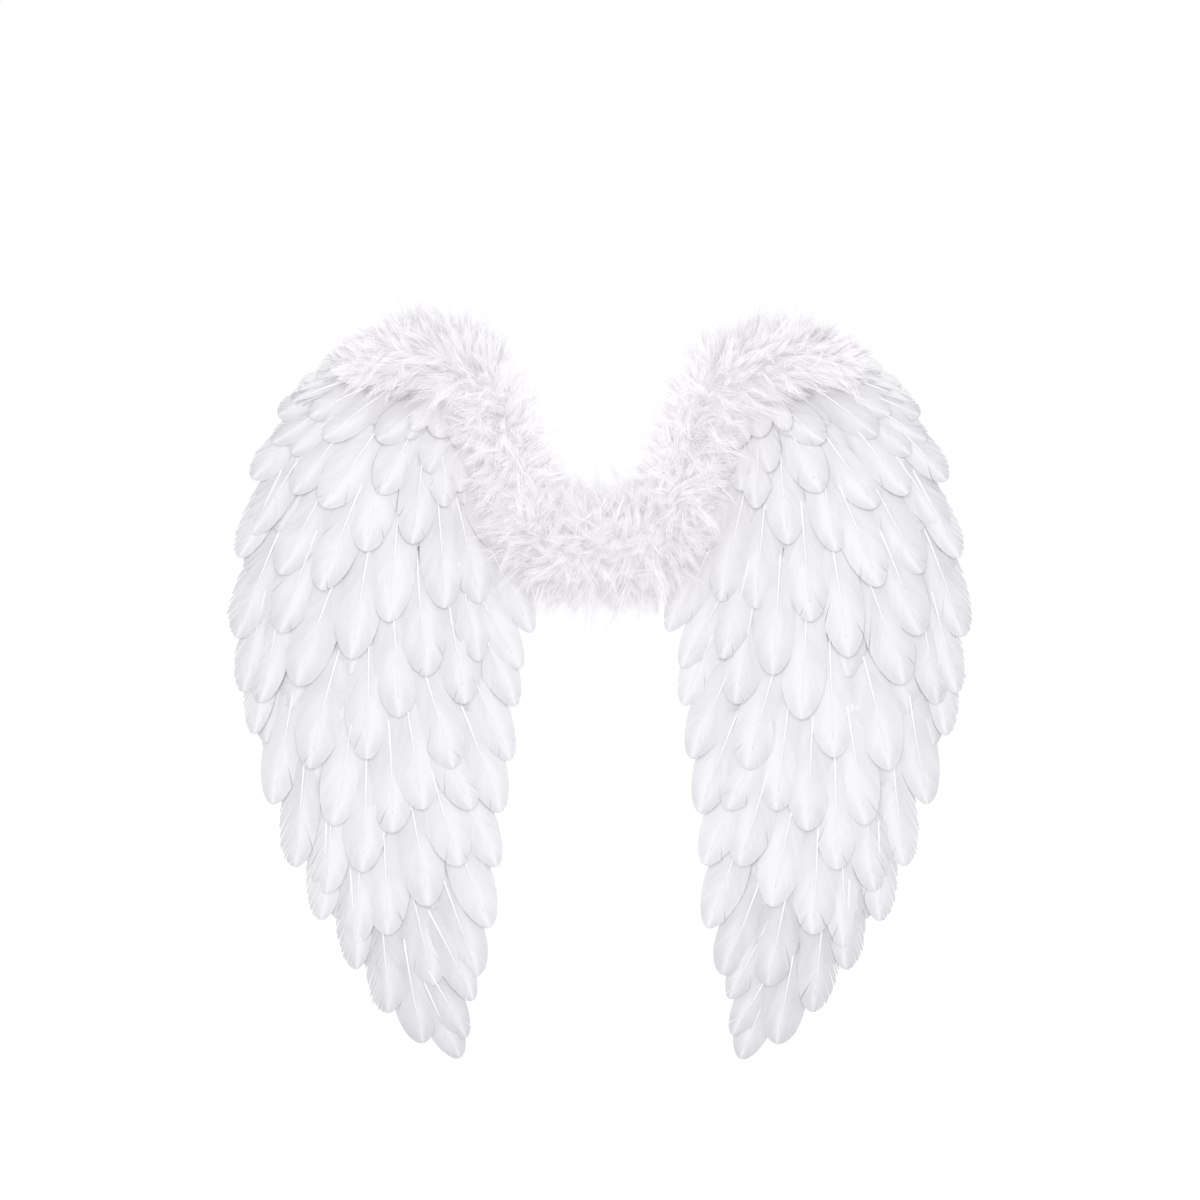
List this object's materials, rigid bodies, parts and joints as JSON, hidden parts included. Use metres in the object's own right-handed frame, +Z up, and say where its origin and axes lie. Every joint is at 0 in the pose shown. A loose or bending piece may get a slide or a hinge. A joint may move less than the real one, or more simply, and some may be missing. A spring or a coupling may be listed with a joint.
{
  "type": "costume angel wings",
  "caption": "Pair of domed feathered costume wings joined by a fluff-covered yoke, worn on the back by two elastic shoulder loops.",
  "frame": {"origin": "middle of the yoke panel's rear face, where it lies against the wearer's back", "axes": "+Z up, +Y towards the wearer, so the feathered face looks towards -Y; +X is the wearer's right, and the right wing is on +X"},
  "size_m": [0.6008, 0.172, 0.6035],
  "materials": {
    "feather": "white goose-type feather, fine barbs, soft satin sheen",
    "down": "white marabou down, fluffy and matt",
    "felt": "white pressed felt, matt",
    "elastic": "white woven elastic, ribbed"
  },
  "bodies": {
    "root": {"yoke_panel": "felt", "yoke_fluff": "down", "right_wing_panel": "felt", "right_feathers_01": "feather", "right_feathers_02": "feather", "right_feathers_03": "feather", "right_feathers_04": "feather", "right_feathers_05": "feather", "right_feathers_06": "feather", "right_feathers_07": "feather", "right_feathers_08": "feather", "right_feathers_09": "feather", "right_feathers_10": "feather", "right_feathers_11": "feather", "right_feathers_12": "feather", "right_feathers_13": "feather", "right_feathers_14": "feather", "right_collar_fluff": "down", "right_crest_fluff": "down", "right_shoulder_strap": "elastic", "left_wing_panel": "felt", "left_feathers_01": "feather", "left_feathers_02": "feather", "left_feathers_03": "feather", "left_feathers_04": "feather", "left_feathers_05": "feather", "left_feathers_06": "feather", "left_feathers_07": "feather", "left_feathers_08": "feather", "left_feathers_09": "feather", "left_feathers_10": "feather", "left_feathers_11": "feather", "left_feathers_12": "feather", "left_feathers_13": "feather", "left_feathers_14": "feather", "left_collar_fluff": "down", "left_crest_fluff": "down", "left_shoulder_strap": "elastic"}
  },
  "joints": []
}
